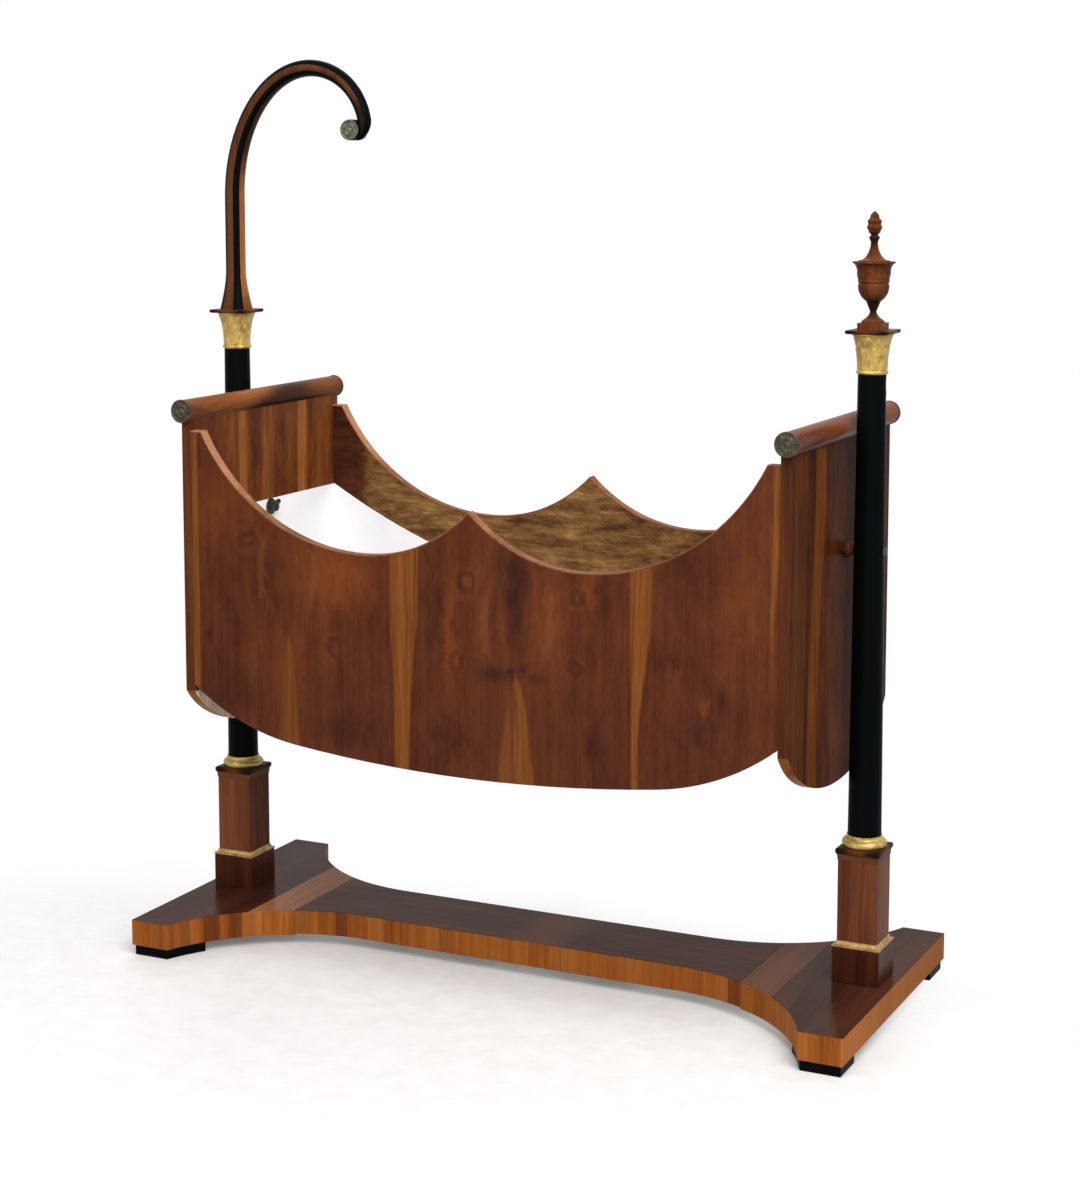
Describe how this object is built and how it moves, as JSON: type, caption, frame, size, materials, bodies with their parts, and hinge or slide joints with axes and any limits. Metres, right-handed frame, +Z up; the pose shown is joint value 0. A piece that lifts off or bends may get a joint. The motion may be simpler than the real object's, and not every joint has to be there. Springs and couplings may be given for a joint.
{
  "type": "cradle",
  "caption": "Hanging cradle: a veneered basket with dipped sides swings on bolts between two black columns on a waisted platform, one topped by a canopy hook and one by an urn",
  "frame": {"origin": "on the floor, under the middle of the platform", "axes": "+X runs from the head end, with the canopy hook, to the foot end, with the urn; the front is -Y; +Z is up"},
  "size_m": [1.3, 0.546, 1.5545],
  "materials": {
    "platform_veneer": "high gloss polish",
    "ebonised_wood": "black gloss",
    "gilt_wood": "worn gilding",
    "walnut_veneer": "satin polish",
    "dark_veneer": "satin polish",
    "pale_wood": "satin polish",
    "carved_wood": "satin polish",
    "roll_wood": "gloss polish",
    "bronze": "dull patina",
    "iron": "dark, worn",
    "plain_boards": "plain planed",
    "white_paint": "matt paint"
  },
  "bodies": {
    "stand": {"base_stretcher": "platform_veneer", "base_end_head": "platform_veneer", "base_end_foot": "platform_veneer", "foot_head_front": "ebonised_wood", "foot_head_back": "ebonised_wood", "foot_urn_front": "ebonised_wood", "foot_urn_back": "ebonised_wood", "plinth_block_head": "platform_veneer", "plinth_block_foot": "platform_veneer", "gilt_fillet_head": "gilt_wood", "gilt_fillet_foot": "gilt_wood", "pedestal_head": "walnut_veneer", "pedestal_foot": "walnut_veneer", "necking_head": "pale_wood", "necking_foot": "pale_wood", "pedestal_cap_head": "dark_veneer", "pedestal_cap_foot": "dark_veneer", "column_ring_head": "gilt_wood", "column_ring_foot": "gilt_wood", "column_head": "ebonised_wood", "column_foot": "ebonised_wood", "capital_head": "gilt_wood", "capital_foot": "gilt_wood", "abacus_head": "dark_veneer", "abacus_foot": "dark_veneer", "canopy_hook": "roll_wood", "hook_rosettes": "bronze", "urn_foot": "carved_wood", "urn_bowl": "carved_wood", "urn_lid": "carved_wood", "urn_flame": "carved_wood", "pivot_bolt_head": "iron", "pivot_bolt_foot": "iron", "wing_nut_head": "iron", "wing_nut_foot": "iron"},
    "basket": {"end_panel_head": "walnut_veneer", "end_panel_foot": "walnut_veneer", "end_roll_head": "roll_wood", "end_roll_foot": "roll_wood", "roll_discs_head": "bronze", "roll_discs_foot": "bronze", "side_panel_front": "walnut_veneer", "side_panel_back": "walnut_veneer", "side_edging_front": "pale_wood", "side_edging_back": "pale_wood", "bottom_board": "plain_boards", "bottom_cleats": "plain_boards", "lining_head": "white_paint", "lining_foot": "white_paint", "lining_front": "white_paint", "lining_back": "white_paint", "turned_boss_head": "carved_wood", "turned_boss_foot": "carved_wood", "pivot_bush_head": "iron", "pivot_bush_foot": "iron"}
  },
  "joints": [
    {"name": "basket_swing", "type": "hinge", "parent": "stand", "child": "basket", "pos_m": [0, 0, 0.765], "axis": [1, 0, 0], "range_deg": [-25, 25]}
  ]
}
